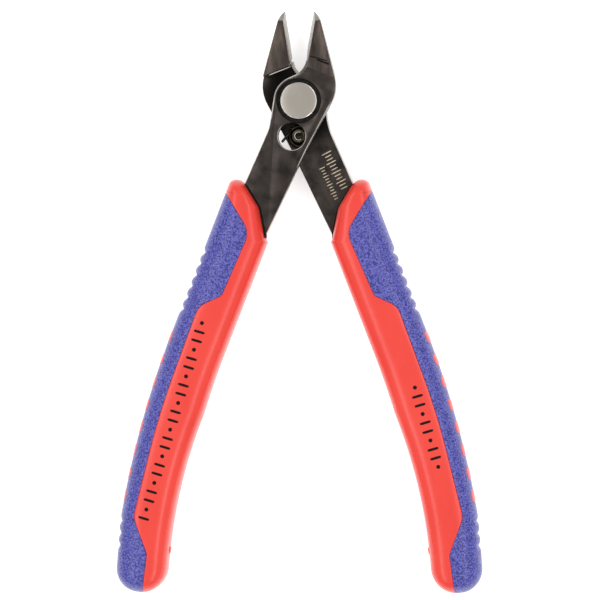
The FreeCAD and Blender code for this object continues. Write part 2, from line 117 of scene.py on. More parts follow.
def aside(line, distance):
    # the line moved sideways, to its left where the distance is positive
    step = np.gradient(line, axis=0)
    normal = np.stack([-step[:, 1], step[:, 0]], axis=-1) / np.linalg.norm(step, axis=1)[:, None]
    return line + distance * normal


def smoothStep(value, low, high):
    # 3 t^2 - 2 t^3, from 0 at low to 1 at high
    t = np.clip((value - low) / (high - low), 0, 1)
    return t * t * (3 - 2 * t)


def makePiece(name, verts, faces, material, body):
    mesh = bpy.data.meshes.new(name)
    mesh.from_pydata(verts.reshape(-1, 3).tolist(), [], [list(f) for f in faces])
    mesh.validate()
    mesh.materials.append(material)
    obj = bpy.data.objects.new(name, mesh)
    scene.collection.objects.link(obj)
    cleanMesh(mesh)
    if body:
        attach(obj, body)
    return obj


def cleanMesh(mesh):
    # doubles are merged, normals point outwards, and edges sharper than 38 degrees stay sharp
    bm = bmesh.new()
    bm.from_mesh(mesh)
    bmesh.ops.remove_doubles(bm, verts=bm.verts, dist=1e-7)
    bmesh.ops.recalc_face_normals(bm, faces=bm.faces)
    bm.to_mesh(mesh)
    bm.free()
    mesh.polygons.foreach_set("use_smooth", np.ones(len(mesh.polygons), bool))
    mesh.set_sharp_from_angle(angle=math.radians(38))
    mesh.update()


def ringFaces(rows, columns, start=0):
    # quads between each pair of rings, whose last column joins their first
    low = np.arange(rows - 1)[:, None] * columns
    high = low + columns
    c = np.arange(columns)[None, :]
    d = (c + 1) % columns
    return (np.stack([low + c, low + d, high + d, high + c], axis=-1).reshape(-1, 4) + start).tolist()


def tubeFaces(rows, columns):
    # a closed skin: rings joined by quads, with a face over each end
    faces = ringFaces(rows, columns)
    faces.append(list(range(columns))[::-1])
    faces.append(list(range((rows - 1) * columns, rows * columns)))
    return faces


def lathe(name, profile, centre, material, body, turns=96):
    # (radius, height) carried round the vertical axis: x = r cos t, y = r sin t
    profile = np.array(profile, float)
    t = np.arange(turns) * 2 * math.pi / turns
    r, z = profile[:, :1], np.broadcast_to(profile[:, 1:], (len(profile), turns))
    verts = np.stack([centre[0] + r * np.cos(t), centre[1] + r * np.sin(t), centre[2] + z], axis=-1) * mm
    return makePiece(name, verts, tubeFaces(len(profile), turns), material, body)


def wire(path, radius, sides=20):
    # a round section carried along a path; d from either end its radius is r sqrt(1 - (1 - d / r)^2)
    step = np.gradient(path, axis=0)
    tangent = step / np.linalg.norm(step, axis=1)[:, None]
    across = np.cross(tangent, [0, 0, 1.0])
    across /= np.linalg.norm(across, axis=1)[:, None]
    up = np.cross(across, tangent)
    travel = np.r_[0, np.cumsum(np.linalg.norm(np.diff(path, axis=0), axis=1))]
    inset = np.minimum(np.minimum(travel, travel[-1] - travel) / radius, 1)
    size = np.maximum(radius * np.sqrt(np.clip(1 - (1 - inset) ** 2, 0, 1)), 1e-4)
    t = np.arange(sides) * 2 * math.pi / sides
    ring = across[:, None] * np.cos(t)[None, :, None] + up[:, None] * np.sin(t)[None, :, None]
    return path[:, None] + ring * size[:, None, None]


def colour(text):
    # sRGB hex to linear, channel by channel
    parts = [int(text[i:i + 2], 16) / 255 for i in (1, 3, 5)]
    return [c / 12.92 if c <= 0.04045 else ((c + 0.055) / 1.055) ** 2.4 for c in parts] + [1.0]


def addNode(tree, kind, inputs=None, **settings):
    # adds a node with its settings; an input is either linked, if it is a socket, or set
    node = tree.nodes.new(kind)
    for name, value in settings.items():
        setattr(node, name, value)
    for socket, value in (inputs or {}).items():
        if isinstance(value, bpy.types.NodeSocket):
            tree.links.new(value, node.inputs[socket])
        else:
            node.inputs[socket].default_value = value
    return node


# Each finish: what it is, how its surface was made, and what that gives the eye. Lengths are millimetres.
finishes = {
    # chrome-vanadium steel, forged and burnished brown-black: cloudy and dark, with a low sheen
    "burnishedToolSteel": {"metallic": 1.0, "roughness": (0.27, 0.38), "dark": "#2B2826",
                           "light": "#4B4440", "patch": 3.2, "patchStretch": (1, 1, 1), "grain": 0.4,
                           "grainStretch": (1, 4, 1), "depth": 0.008},
    # the rear plate, burnished a second time by rubbing, with painted shade: near-black round the joint
    "jointSteelPaintedShade": {"metallic": 1.0, "roughness": (0.25, 0.36), "dark": "#2B2826", "light": "#4B4440",
                         "patch": 2.4, "patchStretch": (1, 1, 1), "grain": 0.5, "grainStretch": (1, 1, 1),
                         "depth": 0.006, "paintedShadeTone": "#151311", "paintedShadeWithin": (6.5, 11.5)},
    # the jaws' slopes, milled before they were burnished: browner, streaked along the cutter's path
    "milledJawSteel": {"metallic": 1.0, "roughness": (0.3, 0.4), "dark": "#3A3431", "light": "#5A504A",
                       "patch": 1.6, "patchStretch": (1, 5, 1), "grain": 0.35, "grainStretch": (1, 8, 1),
                       "depth": 0.01},
    # the same steel ground bright with a fine wheel: light grey, with short grinding lines
    "groundToolSteel": {"metallic": 1.0, "roughness": (0.3, 0.36), "dark": "#98948F", "light": "#B4B0AC",
                        "patch": 0.5, "patchStretch": (4, 1, 1), "grain": 0.3, "grainStretch": (6, 1, 1),
                        "depth": 0.006},
    # the sides and the tip facets, ground with a coarser wheel and left greyer
    "sideGroundSteel": {"metallic": 1.0, "roughness": (0.3, 0.4), "dark": "#8A8581", "light": "#9C9793",
                        "patch": 3.0, "patchStretch": (1, 1, 1), "grain": 0.3, "grainStretch": (1, 1, 5),
                        "depth": 0.006},
    # edges where handling has polished the burnish away, and painted highlights along edges, rims, a crease and a
    # lip: a thin bright line that comes and goes
    "wornEdgeAndPaintedHighlight": {"metallic": 1.0, "roughness": (0.25, 0.35), "dark": "#96918B", "light": "#DAD6D1",
                      "patch": 2.2, "patchStretch": (1, 1, 1), "grain": 0.3, "grainStretch": (1, 1, 1),
                      "depth": 0.004},
    # turned and satin-ground bolt head: warm grey, almost even
    "satinGroundSteel": {"metallic": 1.0, "roughness": (0.3, 0.34), "dark": "#A49D92", "light": "#B2ACA5",
                         "patch": 5.0, "patchStretch": (1, 3, 1), "grain": 0.3, "grainStretch": (1, 8, 1),
                         "depth": 0.003},
    # drawn music wire with a film of oil: dark olive
    "oiledSpringWire": {"metallic": 0.9, "roughness": (0.3, 0.42), "dark": "#2A271E", "light": "#565140",
                        "patch": 0.8, "patchStretch": (1, 1, 1), "grain": 0.25, "grainStretch": (1, 1, 1),
                        "depth": 0.004},
    # blackened washer and nut: darker than the plates
    "blackenedSteel": {"metallic": 0.9, "roughness": (0.3, 0.4), "dark": "#141312", "light": "#2A2725",
                       "patch": 1.0, "patchStretch": (1, 1, 1), "grain": 0.3, "grainStretch": (1, 1, 1),
                       "depth": 0.004},
    # hard red polypropylene, moulded in a finely spark-eroded mould: even colour, soft sheen
    "mouldedRedPolypropylene": {"metallic": 0.0, "roughness": (0.24, 0.3), "dark": "#E6392D",
                                "light": "#EC4538", "patch": 6.0, "patchStretch": (1, 3, 1), "grain": 0.4,
                                "grainStretch": (1, 1, 1), "depth": 0.008, "ior": 1.49},
    # soft blue thermoplastic elastomer with a moulded bead grain: matte, speckled where the beads catch the
    # light. The beads' size was matched, and is a little coarser than the real one
    "grainedBlueElastomer": {"metallic": 0.0, "roughness": (0.28, 0.4), "dark": "#202076",
                             "light": "#6464BC", "patch": 0.32, "patchStretch": (1, 1, 1), "grain": 0.36,
                             "depth": 0.1, "ior": 1.5, "beads": True, "spread": 0.1},
    # black pad-printing ink, with the faint unevenness of a printed film
    "padPrintInk": {"metallic": 0.0, "roughness": (0.45, 0.55), "dark": "#0E0A09", "light": "#17100E",
                    "patch": 0.6, "patchStretch": (1, 1, 1), "grain": 0.3, "grainStretch": (1, 1, 1),
                    "depth": 0.002, "ior": 1.5, "specular": 0.12},
    # laser-etched steel, tempered to pale straw
    "laserEtchedSteel": {"metallic": 0.4, "roughness": (0.5, 0.6), "dark": "#A2947C", "light": "#D3C7AF",
                         "patch": 0.5, "patchStretch": (1, 1, 1), "grain": 0.25, "grainStretch": (1, 1, 1),
                         "depth": 0.003},
    # painted shade in recesses, steps and gaps: nearly black and dull
    "paintedRecessShade": {"metallic": 0.0, "roughness": (0.6, 0.7), "dark": "#0B0908", "light": "#171210",
                   "patch": 0.8, "patchStretch": (1, 1, 1), "grain": 0.3, "grainStretch": (1, 1, 1),
                   "depth": 0.003, "ior": 1.45, "specular": 0.12},
}


def makeFinish(name, finish):
    # patches of two tones and of roughness, over a grain or beads that stand up by the depth
    material = bpy.data.materials.new(name)
    material.use_nodes = True
    tree = material.node_tree
    shader = tree.nodes["Principled BSDF"]
    shader.inputs["Metallic"].default_value = finish["metallic"]
    if "ior" in finish:
        shader.inputs["IOR"].default_value = finish["ior"]
        shader.inputs["Specular IOR Level"].default_value = finish.get("specular", 0.5)
    place = addNode(tree, "ShaderNodeTexCoord").outputs["Object"]
    stretched = addNode(tree, "ShaderNodeMapping",
                        {"Vector": place, "Scale": [1 / v for v in finish["patchStretch"]]})
    patch = addNode(tree, "ShaderNodeTexNoise", {"Vector": stretched.outputs["Vector"], "Detail": 4.0,
                                                 "Scale": 1 / (finish["patch"] * mm)}).outputs["Fac"]
    # noise further than the spread from its middle has the full dark or light tone
    spread = finish.get("spread", 0.18)
    tone = addNode(tree, "ShaderNodeMapRange",
                   {"Value": patch, "From Min": 0.5 - spread, "From Max": 0.5 + spread}).outputs["Result"]
    shade = addNode(tree, "ShaderNodeMix", {0: tone, 6: colour(finish["dark"]), 7: colour(finish["light"])},
                    data_type="RGBA").outputs[2]
    if "paintedShadeTone" in finish:
        # painted shade round the joint: 0 within the first distance from the joint's axis, 1 beyond the second
        reach = addNode(tree, "ShaderNodeVectorMath", {0: place, 1: pivot * mm}, operation="DISTANCE")
        near, far = finish["paintedShadeWithin"]
        unshadedShare = addNode(tree, "ShaderNodeMapRange",
                      {"Value": reach.outputs["Value"], "From Min": near * mm, "From Max": far * mm},
                      interpolation_type="SMOOTHSTEP")
        shade = addNode(tree, "ShaderNodeMix",
                        {0: unshadedShare.outputs["Result"], 6: colour(finish["paintedShadeTone"]), 7: shade},
                        data_type="RGBA").outputs[2]
    tree.links.new(shade, shader.inputs["Base Color"])
    low, high = finish["roughness"]
    gloss = addNode(tree, "ShaderNodeMapRange",
                    {"Value": patch, "From Min": 0.3, "From Max": 0.7, "To Min": high, "To Max": low})
    tree.links.new(gloss.outputs["Result"], shader.inputs["Roughness"])
    scale = 1 / (finish["grain"] * mm)
    if finish.get("beads"):
        relief = addNode(tree, "ShaderNodeTexVoronoi", {"Vector": place, "Scale": scale},
                         feature="SMOOTH_F1").outputs["Distance"]
    else:
        along = addNode(tree, "ShaderNodeMapping",
                        {"Vector": place, "Scale": [1 / v for v in finish["grainStretch"]]})
        relief = addNode(tree, "ShaderNodeTexNoise", {"Vector": along.outputs["Vector"], "Detail": 2.0,
                                                      "Scale": scale}).outputs["Fac"]
    height = addNode(tree, "ShaderNodeBump",
                     {"Height": relief, "Distance": finish["depth"] * mm, "Strength": 0.7})
    tree.links.new(height.outputs["Normal"], shader.inputs["Normal"])
    return material


looks = {name: makeFinish(name, finish) for name, finish in finishes.items()}
print("finishes made")


studio = {
    "floorGap": 0.02,           # in millimetres
    "floorSize": 4.0, "floorColour": "#F4F3F1", "floorRough": 0.7, "floorGlow": 0.55, "worldStrength": 0.72,
    "stripPower": 1.15, "stripSize": (0.14, 0.9), "stripOut": 0.27, "stripHeight": 0.55,
    "lens": 300.0, "viewWidth": 124.6, "aim": (0.12, 0.46, 6.0), "tilt": 3.2,
}


def makeStudio():
    world = bpy.data.worlds.new("studioAir")
    scene.world = world
    world.use_nodes = True
    air = world.node_tree.nodes["Background"]
    air.inputs["Color"].default_value = colour("#FFFFFF")
    air.inputs["Strength"].default_value = studio["worldStrength"]

    half = studio["floorSize"] / 2
    mesh = bpy.data.meshes.new("benchTop")
    corners = [(-half, -half, 0), (half, -half, 0), (half, half, 0), (-half, half, 0)]
    mesh.from_pydata(corners, [], [(0, 1, 2, 3)])
    floor = bpy.data.objects.new("benchTop", mesh)
    scene.collection.objects.link(floor)
    floor.location = (0, 0, -studio["floorGap"] * mm)
    panel = bpy.data.materials.new("paleLightTable")     # frosted acrylic, lit a little from below
    panel.use_nodes = True
    shader = panel.node_tree.nodes["Principled BSDF"]
    shader.inputs["Base Color"].default_value = colour(studio["floorColour"])
    shader.inputs["Roughness"].default_value = studio["floorRough"]
    shader.inputs["Emission Color"].default_value = colour("#FFFFFF")
    shader.inputs["Emission Strength"].default_value = studio["floorGlow"]
    mesh.materials.append(panel)

    for name, side in (("stripLeft", -1), ("stripRight", 1)):
        light = bpy.data.lights.new(name, "AREA")
        light.shape = "RECTANGLE"
        light.size, light.size_y = studio["stripSize"]
        light.energy = studio["stripPower"]
        lamp = bpy.data.objects.new(name, light)
        scene.collection.objects.link(lamp)
        lamp.location = (side * studio["stripOut"], 0, studio["stripHeight"])
        lamp.rotation_euler = (0, side * math.atan2(studio["stripOut"], studio["stripHeight"]), 0)

    lens = bpy.data.cameras.new("camera")
    lens.lens = studio["lens"]
    camera = bpy.data.objects.new("camera", lens)
    scene.collection.objects.link(camera)
    distance = studio["viewWidth"] * studio["lens"] / lens.sensor_width
    tilt = math.radians(studio["tilt"])
    away = np.array([math.sin(tilt), 0, math.cos(tilt)]) * distance
    camera.location = (np.array(studio["aim"]) + away) * mm
    camera.rotation_euler = (0, tilt, 0)
    scene.camera = camera
    scene.view_settings.view_transform = "Standard"


makeStudio()
print("floor, lights and camera made")


halves = {
    "edgeBreak": 0.15,        # break along every edge, bright from polished wear and from a painted highlight
    "mergeWithin": 0.002,     # corners closer than this are one
    "flatAngle": 1.0,         # faces closer than this are one face
    "edgeAngle": 18.0,        # edges sharper than this are broken
    "smoothAngle": 30.0,      # flatter edges than this are shaded smooth
    "keptDark": 5.0,          # nearer the joint's axis than this, the edges stay burnished
    "level": 0.97, "upright": 0.3,                # upward part of the normal of a level face, and of a side
    "jawStart": 6.0, "slopeLean": (0.1, 0.85),    # least parts of the slope's normal, tipwards and upwards
    "facetStart": 16.0, "facetLean": (0.35, 0.25),             # the tip facet's, in the same way
    "edgeStart": 7.6, "edgeWidth": 2.6, "edgeLean": 0.3,       # the ground cutting edge, leaning inwards
    "throatAt": (-3.9, 8.5), "throatReach": 4.9, "throatRows": (4.0, 9.8), "throatFrom": -2.6,
    "rimEnd": 5.6, "rimLean": (0.4, 0.95),        # the broken rim of the plate and neck, bright from wear and from a painted highlight
    "looks": ("burnishedToolSteel", "jointSteelPaintedShade", "milledJawSteel", "groundToolSteel",
              "wornEdgeAndPaintedHighlight", "sideGroundSteel"),
}


def sortFaces(at, lean, isRear):
    # the number of each face's finish, from its middle and its normal in the drawn frame,
    # where both jaws lie towards +x and both handles towards -x
    h = halves
    number = {name: i for i, name in enumerate(h["looks"])}
    x, y = at[:, 0], at[:, 1]
    inwards, tipwards, upwards = -lean[:, 0], lean[:, 1], lean[:, 2]
    steep = np.abs(upwards)
    look = np.full(len(at), number["burnishedToolSteel"])
    look[(steep < h["upright"]) & (np.hypot(x, y) > h["keptDark"])] = number["sideGroundSteel"]
    # the rear plate's level faces, with painted shade round the joint
    if isRear:
        look[(steep > h["level"]) & (y < h["jawStart"])] = number["jointSteelPaintedShade"]
    slope, facet = h["slopeLean"], h["facetLean"]
    look[(y > h["jawStart"]) & (tipwards > slope[0]) & (steep > slope[1])] = number["milledJawSteel"]
    look[(y > h["facetStart"]) & (tipwards > facet[0]) & (upwards > facet[1])] = number["sideGroundSteel"]
    edge = (y > h["edgeStart"]) & (inwards > h["edgeLean"]) & (x < h["edgeWidth"])
    (throatX, throatY), (first, last) = h["throatAt"], h["throatRows"]
    throat = (np.hypot(x - throatX, y - throatY) < h["throatReach"]) & (x > h["throatFrom"])
    throat &= (y > first) & (y < last) & (steep < h["level"])
    look[edge | throat] = number["groundToolSteel"]
    least, most = h["rimLean"]
    look[(y < h["rimEnd"]) & (upwards > least) & (upwards < most)] = number["wornEdgeAndPaintedHighlight"]
    return look


def steelHalf(node, side):
    # a copy of the forged half, with its faces sorted by finish and its edges broken
    mesh = frame["nodes"][node].data.copy()
    mesh.name = node + "_steel"
    mesh.materials.clear()
    for look in halves["looks"]:
        mesh.materials.append(looks[look])
    if "custom_normal" in mesh.attributes:
        mesh.attributes.remove(mesh.attributes["custom_normal"])
    bm = bmesh.new()
    bm.from_mesh(mesh)
    bmesh.ops.remove_doubles(bm, verts=bm.verts, dist=halves["mergeWithin"] * mm)
    flat = math.radians(halves["flatAngle"])
    bmesh.ops.dissolve_limit(bm, angle_limit=flat, verts=bm.verts, edges=bm.edges)
    bm.faces.ensure_lookup_table()
    centre = np.array([f.calc_center_median() for f in bm.faces])
    normal = np.array([f.normal for f in bm.faces])
    at = drawnFrame(centre, side)
    lean = drawnFrame(centre + normal * mm, side) - at
    for face, number in zip(bm.faces, sortFaces(at, lean, node == "rear_half")):
        face.material_index = int(number)
    sharpest = math.radians(halves["edgeAngle"])
    sharp = [e for e in bm.edges if e.is_manifold and e.calc_face_angle(0) > sharpest]
    # the broken edges take the bright finish: wear on the edges, and a painted highlight along them
    wornAndHighlightLook = halves["looks"].index("wornEdgeAndPaintedHighlight")
    broken = bmesh.ops.bevel(bm, geom=sharp, offset=halves["edgeBreak"] * mm, segments=2, profile=0.5,
                             affect="EDGES", material=wornAndHighlightLook, clamp_overlap=True,
                             offset_type="OFFSET")["faces"]
    middle = drawnFrame(np.array([f.calc_center_median() for f in broken]), side)
    for face, reach in zip(broken, np.hypot(middle[:, 0], middle[:, 1])):
        if reach < halves["keptDark"]:
            face.material_index = halves["looks"].index("burnishedToolSteel")
    bm.to_mesh(mesh)
    bm.free()
    mesh.polygons.foreach_set("use_smooth", np.ones(len(mesh.polygons), bool))
    mesh.set_sharp_from_angle(angle=math.radians(halves["smoothAngle"]))
    piece = bpy.data.objects.new(node + "_steel", mesh)
    scene.collection.objects.link(piece)
    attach(piece, "front" if node == "front_half" else "rear")
    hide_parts(node)


steelHalf("front_half", "left")
steelHalf("rear_half", "right")
print("steel halves made")


inlays = {
    "slopeStart": 7.15, "slopeFall": 0.1726, "slopeLean": 0.213, "plateTop": 3.2,
    "crease": ((0.45, 5.3), 0.09),                           # x from and to, and half the width
    "taperFrom": 0.15, "taperRise": 12.0,                    # a band's share of its width at its ends
    "steps": [((0.75, 9.5), (4.65, 9.05), 0.12), ((2.35, 9.0), (5.1, 8.42), 0.2)],
    "proud": 0.02, "sunk": 0.25,
    "edgeHalf": 0.1, "edgeIn": 0.15, "windowIn": 0.1,        # the painted highlight lines along the front half's edges
    "neck": [(1.34, 18.17), (7.72, 3.36, 7.6), (3.2, -9.8, 60.0), (-2.1, -27.5, 8.0), (-9.3, -50.0)],
    "neckReach": (-14.0, 0.8),
    "boss": [(-11.1, -29.0), (-5.15, -6.6, 12.0), (-5.2, 2.765, 5.2), (0.2, 6.4, 4.0), (0.2, 9.1)],
    "bossReach": (-5.0, 6.0),
    "window": ((-0.26, -7.5), 2.85, (140.0, 390.0), 0.06),
    "gapHalf": 0.22, "gapOut": 0.1,                          # the painted shadow at each grip's mouth
    "gapProud": {"front": 3.24, "rear": 0.03}, "gapBase": {"front": 0.0, "rear": -3.2},
    "neckSide": (-5.15, 0.2656, -6.6), "gapLow": -29.2,
}


def slopeHeight(x, y):
    # the jaw's upper side: plate top - fall * (x sin a + y cos a - start), level below the crease
    lean = inlays["slopeLean"]
    along = lean * x + math.sqrt(1 - lean ** 2) * y - inlays["slopeStart"]
    return inlays["plateTop"] - inlays["slopeFall"] * np.maximum(along, 0)


def band(name, path, half, top, bottom, look, body, side):
    # a flat band of width 2 half along a path, tapered at both ends; top and bottom give its heights at x, y
    step = np.gradient(path, axis=0)
    normal = np.stack([-step[:, 1], step[:, 0]], axis=-1)
    normal /= np.linalg.norm(normal, axis=1)[:, None]
    share = np.linspace(0, 1, len(path))
    taper = np.minimum(1, inlays["taperFrom"] + inlays["taperRise"] * np.minimum(share, 1 - share))
    out = normal[:, None] * (np.array([-1, 1, 1, -1])[None, :] * (half * taper)[:, None])[..., None]
    xy = path[:, None] + out
    high, low = top(xy[..., 0], xy[..., 1]), bottom(xy[..., 0], xy[..., 1])
    z = np.where(np.array([True, True, False, False]), high, low)
    verts = placed(np.concatenate([xy, z[..., None]], axis=-1), side)
    return makePiece(name, verts, tubeFaces(len(path), 4), looks[look], body)


def jawMarks():
    # a painted highlight along the left jaw's crease, and painted shade along the two steps across the right jaw
    proud, sunk, lean = inlays["proud"], inlays["sunk"], inlays["slopeLean"]
    rise = math.sqrt(1 - lean ** 2)

    def over(x, y):
        return slopeHeight(x, y) + proud

    def under(x, y):
        return slopeHeight(x, y) - sunk

    reach, half = inlays["crease"]
    x = np.linspace(*reach, 24)
    y = (inlays["slopeStart"] - lean * x) / rise
    band("left_jaw_crease_highlight", np.stack([x, y], axis=-1), half, over, under, "wornEdgeAndPaintedHighlight", "rear", "right")
    for i, (start, end, half) in enumerate(inlays["steps"]):
        path = np.linspace(start, end, 20)
        band("right_jaw_step_%d" % (i + 1), path, half, over, under, "paintedRecessShade", "front", "left")


def edgeHighlightLines():
    # painted highlights: thin bright lines just inside the front neck's inner edge, the boss's edge and the
    # window's edge
    middle, radius, turn, windowHalf = inlays["window"]
    angle = np.radians(np.linspace(*turn, 90))
    circle = np.stack([np.cos(angle), np.sin(angle)], axis=-1)
    paths = {"window_edge_highlight": np.array(middle) + (radius + inlays["windowIn"]) * circle}
    for name, corners, (low, high) in (("neck_edge_highlight", inlays["neck"], inlays["neckReach"]),
                                       ("boss_edge_highlight", inlays["boss"], inlays["bossReach"])):
        line = evenLine(corners)
        line = line[(line[:, 1] > low) & (line[:, 1] < high)]
        paths[name] = aside(line, -inlays["edgeIn"])
    top = inlays["plateTop"] + inlays["proud"] / 2
    for name, path in paths.items():
        half = windowHalf if name == "window_edge_highlight" else inlays["edgeHalf"]
        band("front_" + name, path, half, lambda x, y: top + 0 * x,
             lambda x, y: top - inlays["sunk"] + 0 * x, "wornEdgeAndPaintedHighlight", "front", "left")


jawMarks()
edgeHighlightLines()
print("jaw marks and painted edge highlights made")


grip = {
    "path": [(-4.97, -16.0), (-18.65, -79.26, 190.0), (-16.65, -108.5)],       # centre line, top to end
    "width": 11.85, "halfThick": 6.0, "inside": 0.03,
    "mouth": [(-12.63, -23.5), (-11.4, -17.3, 1.8), (-8.5, -18.6, 3.0), (-4.6, -23.15, 4.0), (-2.15, -29.8)],
    "heel": [(-23.35, -89.5), (-22.0, -106.0, 5.0), (-11.35, -106.0, 5.5), (-13.1, -85.0, 108.0),
             (-9.1, -65.0)],
    "seam": [(-14.3, -18.4), (-5.6, -28.5, 4.2), (-9.25, -42.4, 1.6), (-13.75, -45.3, 4.0),
             (-18.28, -68.2, 150.0), (-20.3, -90.4, 4.0), (-16.2, -97.6, 2.5), (-15.9, -110.0)],
    "squareOuter": 2.7, "squareInner": 3.6,            # the section's powers
    "topRound": 3.2, "endRound": 3.6, "roundPower": 2.3,
    "rowStep": 0.19, "crowdRows": 25, "crowdWithin": 2.2,      # rows crowd within this of both ends
    "seamRound": 0.2, "seamCrowd": (0, 0.1, 0.3, 0.6, 1),      # shares of the rounding that have a point
    "blueMost": 0.97,                                  # how far in the seam reaches, as a share of the half width
    "coverDepth": 1.7, "bedDepth": 1.8,
    "thinWithin": 0.1, "deepWithin": 0.6,              # where the cover runs out, its rounding and depth fade
    "ribs": [(-34.1, -46.3, 6, 0.68), (-91.8, -96.85, 3, 0.5)],     # first and last valley, count, depth
    "ribCrest": 0.75, "ribUp": (2.5, 4.1), "ribOut": (0.3, 0.8),    # heights and |u| where the ribs fade
}


def gripRows():
    # for each row y: the outer and inner silhouettes, the seam between red and blue, and the thickness
    path = roundedLine(grip["path"], 200)
    path = np.vstack([path[:1] - (path[1] - path[0]) * 0.1, path])     # a tenth longer at its top
    tangent = np.gradient(path, axis=0)
    normal = np.stack([-tangent[:, 1], tangent[:, 0]], axis=-1)
    normal /= np.linalg.norm(normal, axis=1)[:, None]
    half = grip["width"] / 2 - grip["inside"]
    outer, inner = path - normal * half, path + normal * half
    mouth, heel = roundedLine(grip["mouth"], 60), roundedLine(grip["heel"], 60)
    top, low = int(mouth[:, 1].argmax()), int(heel[:, 1].argmin())
    yTop, yLow = mouth[top, 1] - grip["inside"], heel[low, 1] + grip["inside"]
    count = int((yTop - yLow) / grip["rowStep"])
    even = np.linspace(0, 1, count)
    depth = yTop - yLow
    quarter = np.linspace(0, math.pi / 2, grip["crowdRows"] + 1)[:-1]
    near = (1 - np.cos(quarter)) * grip["crowdWithin"]
    fromTop = np.unique(np.r_[near, even * depth, depth - near])
    y = (yTop - fromTop)[fromTop < depth - 1e-3][1:]

    def at(line):
        order = line[:, 1].argsort()
        return np.interp(y, line[order, 1], line[order, 0])

    heelLeft, heelRight = heel[:low + 1], heel[low:]
    mouthLeft, mouthRight = mouth[:top + 1], mouth[top:]
    far = 99.0
    xLow = np.maximum(at(outer), np.where(y > mouthLeft[0, 1], at(mouthLeft), -far))
    xLow = np.maximum(xLow, np.where(y < heelLeft[0, 1], at(heelLeft), -far))
    xHigh = np.minimum(at(inner), np.where(y > mouthRight[-1, 1], at(mouthRight), far))
    xHigh = np.minimum(xHigh, np.where(y < heelRight[-1, 1], at(heelRight), far))
    seam = at(roundedLine(grip["seam"], 40))
    roundTop = np.clip((yTop - y) / grip["topRound"], 0, 1)
    roundEnd = np.clip((y - yLow) / grip["endRound"], 0, 1)
    # each end is rounded by (1 - (1 - share)^power)^(1 / power)
    power = grip["roundPower"]
    thick = (1 - (1 - roundTop) ** power) ** (1 / power) * (1 - (1 - roundEnd) ** power) ** (1 / power)
    return y, xLow, xHigh, seam, grip["halfThick"] * thick


def sectionTable():
    # a superellipse, |u|^n + |w|^n = 1, squarer on its inner side, measured by its own arc length
    angle = np.linspace(0, math.pi, 4001)
    c, s = np.cos(angle), np.sin(angle)
    power = np.where(c > 0, 2 / grip["squareInner"], 2 / grip["squareOuter"])
    u, w = np.sign(c) * np.abs(c) ** power, np.abs(s) ** power
    length = np.r_[0, np.cumsum(np.hypot(np.diff(u), np.diff(w)))]
    return u, w, length


rowY, rowLow, rowHigh, rowSeam, rowThick = gripRows()
tableU, tableW, tableLength = sectionTable()
halfRound = tableLength[-1]
rowCentre, rowHalf = (rowLow + rowHigh) / 2, (rowHigh - rowLow) / 2
seamShare = np.clip((rowSeam - rowCentre) / rowHalf, -1, grip["blueMost"])
seamAt = np.interp(-seamShare, -tableU, tableLength)      # arc length from the inner side to the seam
blueWidth = halfRound - seamAt


def alongRows(values, y):
    # what a list with one value for each row gives at any y
    order = rowY.argsort()
    return np.interp(y, rowY[order], values[order])


def gripSkin(travel, sink):
    # a point at arc length travel round the section, sunk towards the section's middle by sink mm; ribs pull
    # the outer side in by depth (1 - |sin(pi s)|^crest), s counting valleys, and fade towards top and bottom
    ahead = np.where(travel > halfRound, 2 * halfRound - travel, travel)
    sign = np.where(travel > halfRound, -1.0, 1.0)
    u = np.interp(ahead, tableLength, tableU)
    w = np.interp(ahead, tableLength, tableW) * sign
    scale = 1 - sink / grip["halfThick"]
    x = rowCentre[:, None] + rowHalf[:, None] * u * scale
    z = rowThick[:, None] * w * scale
    valley = np.zeros_like(rowY)
    for first, last, count, depth in grip["ribs"]:
        s = (rowY - first) / (last - first) * (count - 1)
        among = (s > -0.5) & (s < count - 0.5)
        valley += among * depth * (1 - np.abs(np.sin(math.pi * s)) ** grip["ribCrest"])
    fade = (1 - smoothStep(np.abs(z), *grip["ribUp"])) * smoothStep(-u, *grip["ribOut"])
    x = x + valley[:, None] * fade
    y = np.broadcast_to(rowY[:, None], x.shape)
    return np.stack([x, y, z], axis=-1)


def patchTravel(start, stop, count):
    # arc lengths across a patch, crowded within the rounding of each edge, and the distance to that edge
    crowd = np.array(grip["seamCrowd"]) * grip["seamRound"] / grip["halfThick"]
    width = (stop - start)[:, None]
    squeeze = np.minimum(1, width / (4 * crowd[-1]))
    first = start[:, None] + crowd[None] * squeeze
    last = stop[:, None] - crowd[None, ::-1] * squeeze
    share = np.linspace(0, 1, count + 2)[1:-1][None]
    inner = first[:, -1:] + (last[:, :1] - first[:, -1:]) * share
    travel = np.hstack([first, inner, last])
    gap = np.minimum(travel - start[:, None], stop[:, None] - travel) * grip["halfThick"]
    return travel, gap


def roundEdge(gap, radius):
    # how far the skin drops near an edge: r - sqrt(r^2 - (r - d)^2)
    d = np.clip(radius - gap, 0, radius)
    return radius - np.sqrt(np.clip(radius ** 2 - d ** 2, 0, None))


def bed(share, depth):
    # the surface under the cover: the skin between the seams, sunk by the depth
    travel = seamAt[:, None] + 2 * blueWidth[:, None] * share[None]
    deep = smoothStep(blueWidth, 0.0, grip["deepWithin"])[:, None] * depth
    return gripSkin(travel, np.broadcast_to(deep, travel.shape))


def makeCore():
    # rings of the red skin from seam to seam, closed by the bed
    fade = smoothStep(blueWidth, 0.0, grip["thinWithin"])
    around, gap = patchTravel(-seamAt, seamAt, 90)
    # the surface runs from the lower seam through the inner side (0) to the upper seam
    travel = np.where(around < 0, 2 * halfRound + around, around)
    skin = gripSkin(travel, roundEdge(gap, grip["seamRound"]) * fade[:, None])
    return np.concatenate([skin, bed(np.linspace(0, 1, 24), grip["bedDepth"])], axis=1)


